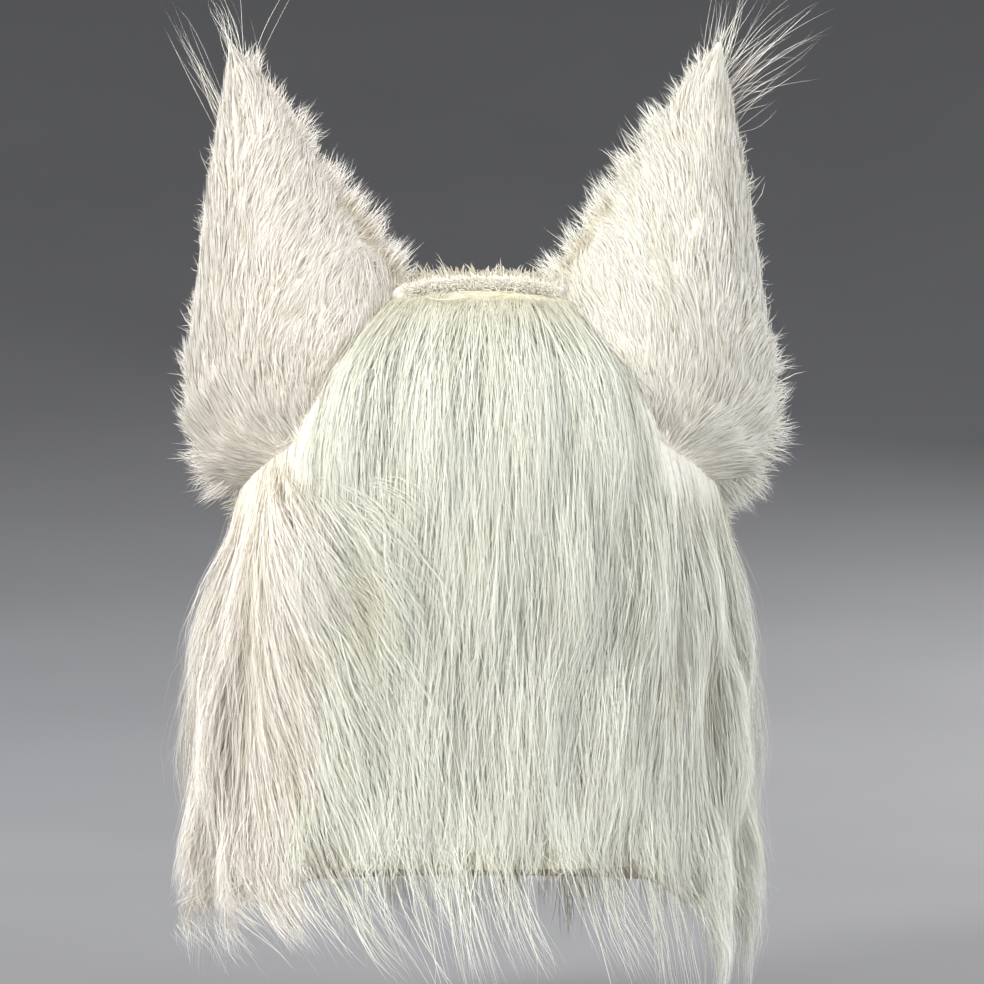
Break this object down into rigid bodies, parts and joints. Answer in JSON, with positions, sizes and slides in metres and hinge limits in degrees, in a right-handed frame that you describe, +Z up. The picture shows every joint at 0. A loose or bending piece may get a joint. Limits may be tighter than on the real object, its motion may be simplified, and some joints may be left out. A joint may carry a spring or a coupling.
{
  "type": "furry wolf mask",
  "caption": "Whole-head animal costume mask: a foam hood and muzzle under long white fur, with tall cupped ears, dark screened eyes and an open neck.",
  "frame": {"origin": "the highest point of the hood's inside, where the wearer's crown rests", "axes": "+Z up, -Y the way the mask looks, +X towards the wearer's left"},
  "size_m": [0.3571, 0.3764, 0.5505],
  "materials": {
    "foam": "matte open-cell foam",
    "nose": "satin moulded rubber",
    "eye_screen": "matte woven mesh",
    "short_fur": "short plush pile",
    "long_fur": "long shag pile",
    "seam": "matte knitted backing"
  },
  "bodies": {
    "root": {"hood": "foam", "muzzle": "foam", "nose": "nose", "eye_screen_left": "eye_screen", "eye_screen_right": "eye_screen", "face_fur": "short_fur", "back_fur": "long_fur", "side_fur_left": "long_fur", "side_fur_right": "long_fur", "throat_fur": "long_fur", "crown_seam": "seam", "ear_left": "short_fur", "ear_right": "short_fur", "ear_tuft_left": "long_fur", "ear_tuft_right": "long_fur"}
  },
  "joints": []
}
